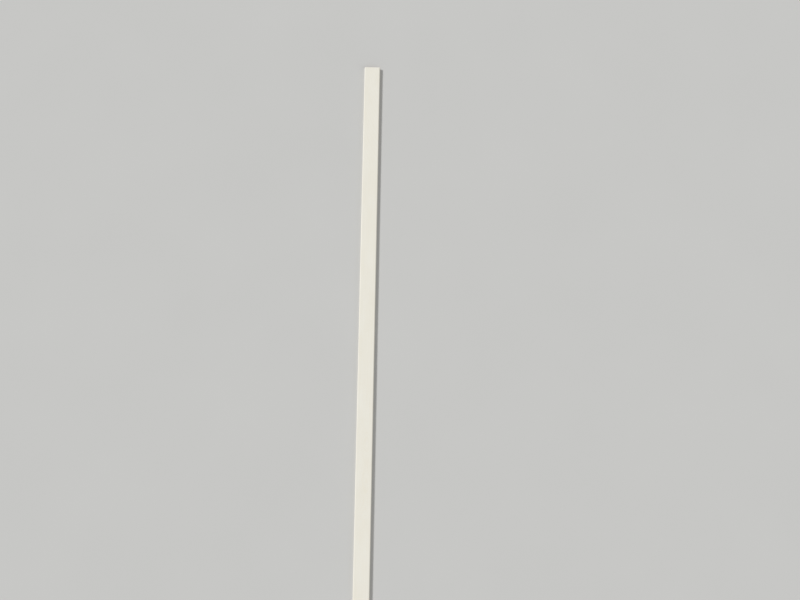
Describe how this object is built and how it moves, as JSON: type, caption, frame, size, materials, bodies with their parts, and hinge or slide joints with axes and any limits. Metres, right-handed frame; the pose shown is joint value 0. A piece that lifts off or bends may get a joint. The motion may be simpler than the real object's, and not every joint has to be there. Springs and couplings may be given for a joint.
{
  "type": "architrave moulding",
  "caption": "Plain painted architrave moulding: a long flat strip of finger-jointed pine with rounded front arrises and a flat, bare back.",
  "frame": {"origin": "middle of the back, which is the face that goes against the wall", "axes": "+Z out of the painted face, +Y along the length, X across the width"},
  "size_m": [0.058, 2.2, 0.012],
  "materials": {
    "painted_pine": "warm white paint in a low sheen on the face and long edges; planed bare pine on the back and the sawn ends"
  },
  "bodies": {
    "root": {"pine_block_1": "painted_pine", "pine_block_2": "painted_pine", "pine_block_3": "painted_pine", "pine_block_4": "painted_pine"}
  },
  "joints": []
}
